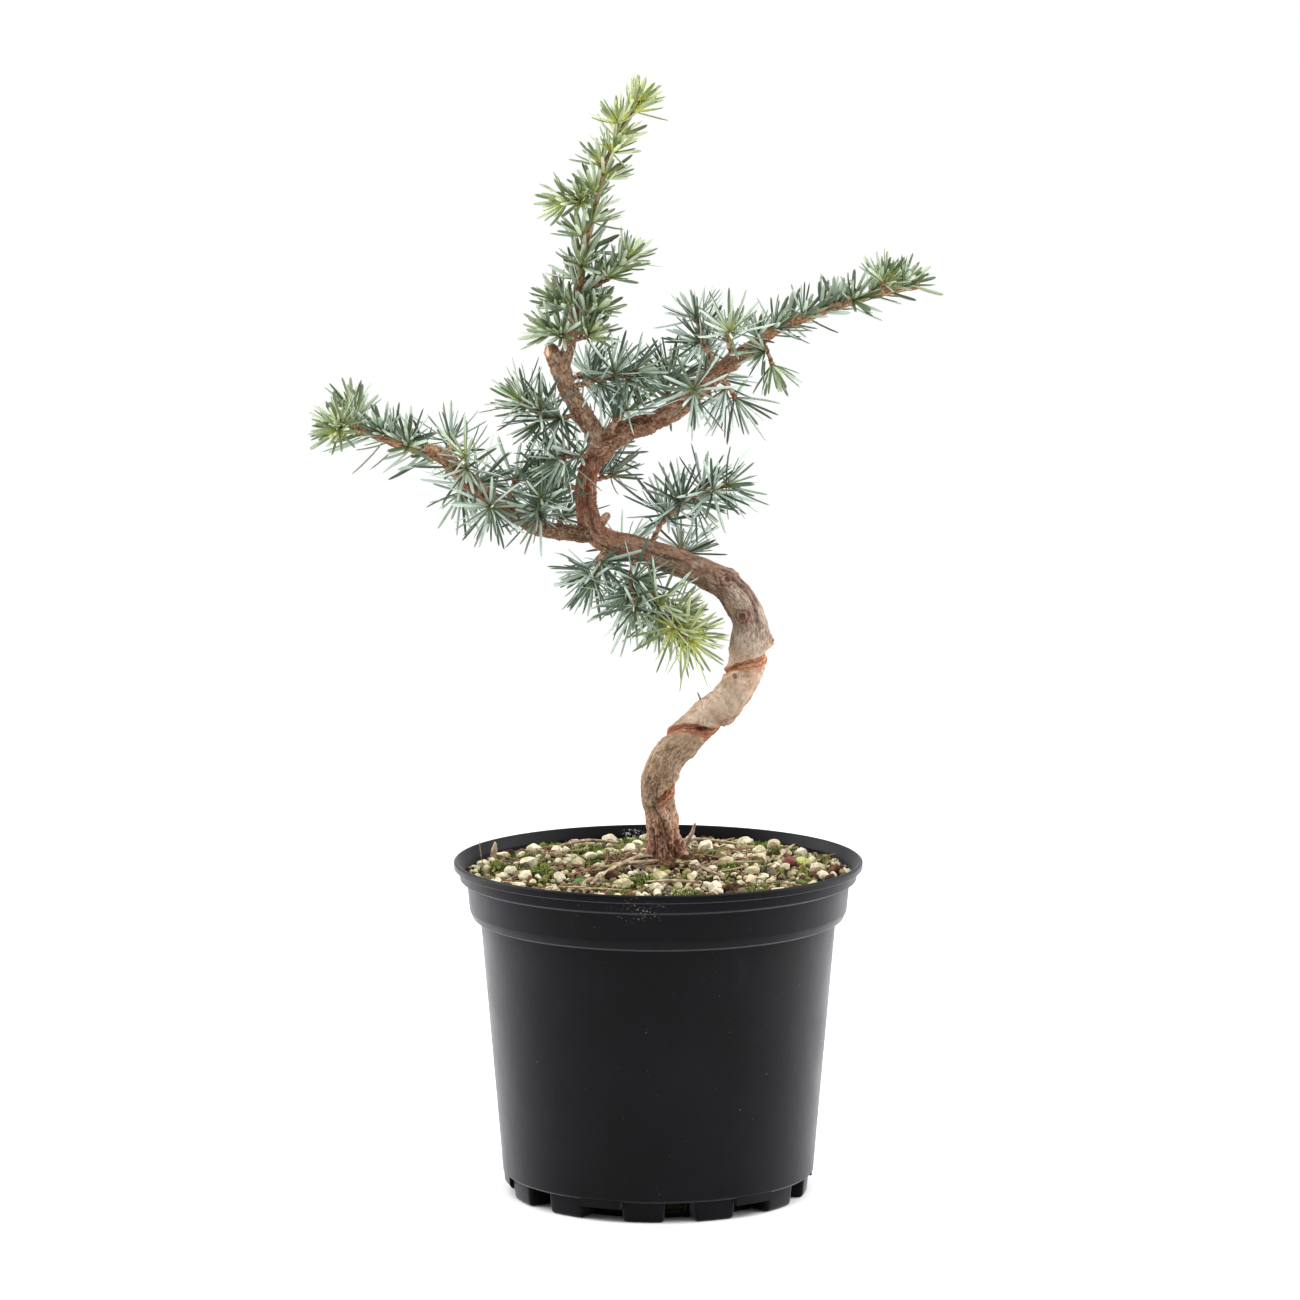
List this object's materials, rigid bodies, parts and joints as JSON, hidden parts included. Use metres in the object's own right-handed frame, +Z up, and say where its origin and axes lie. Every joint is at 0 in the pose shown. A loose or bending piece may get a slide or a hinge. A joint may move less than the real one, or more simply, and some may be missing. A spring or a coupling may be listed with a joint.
{
  "type": "potted bonsai cedar",
  "caption": "Young blue cedar trained as a bonsai: wired S-bent trunk, spreading boughs with rosettes of short needles, in a plain round plastic nursery pot.",
  "frame": {"origin": "centre of the pot's flat underside, on the surface the pot stands on", "axes": "+Z up the plant; +X toward the longer side of the right-hand bough, so -X runs toward the left-hand bough; -Y is the front, from which the trunk shows its S"},
  "size_m": [0.2944, 0.19, 0.5239],
  "materials": {
    "pot_plastic": "satin black injection-moulded plastic",
    "soil": "cream pumice grains, bark crumbs and moss",
    "old_bark": "grey-brown bark, scaly low down and smooth above, with wire scars",
    "young_bark": "red-brown rough young bark",
    "blue_needles": "blue-green needles with a waxy bloom",
    "green_needles": "grey-green needles",
    "new_needles": "fresh yellow-green needles"
  },
  "bodies": {
    "root": {"arch_back_needles": "blue_needles", "arch_low_needles": "blue_needles", "arch_right_needles": "blue_needles", "fork_back_needles": "blue_needles", "fork_left_needles": "blue_needles", "fork_right_needles": "blue_needles", "hang_left_needles": "blue_needles", "hang_low_needles": "green_needles", "hang_mid_needles": "blue_needles", "leader": "young_bark", "leader_back_needles": "blue_needles", "leader_left_needles": "green_needles", "leader_right_needles": "blue_needles", "leader_tip_needles": "new_needles", "left_back_needles": "blue_needles", "left_base_needles": "blue_needles", "left_bough": "young_bark", "left_down_needles": "blue_needles", "left_front_needles": "blue_needles", "left_mid_needles": "blue_needles", "left_rise_needles": "blue_needles", "left_root_needles": "blue_needles", "left_tip_needles": "new_needles", "left_up_needles": "green_needles", "pot": "pot_plastic", "right_back_needles": "blue_needles", "right_base_needles": "blue_needles", "right_bough": "young_bark", "right_down_needles": "blue_needles", "right_front_needles": "blue_needles", "right_left_needles": "blue_needles", "right_tip_needles": "green_needles", "right_up_needles": "green_needles", "soil": "soil", "top_left_needles": "blue_needles", "top_right_needles": "blue_needles", "trunk_base": "old_bark", "trunk_bend": "old_bark", "trunk_top": "young_bark"}
  },
  "joints": []
}
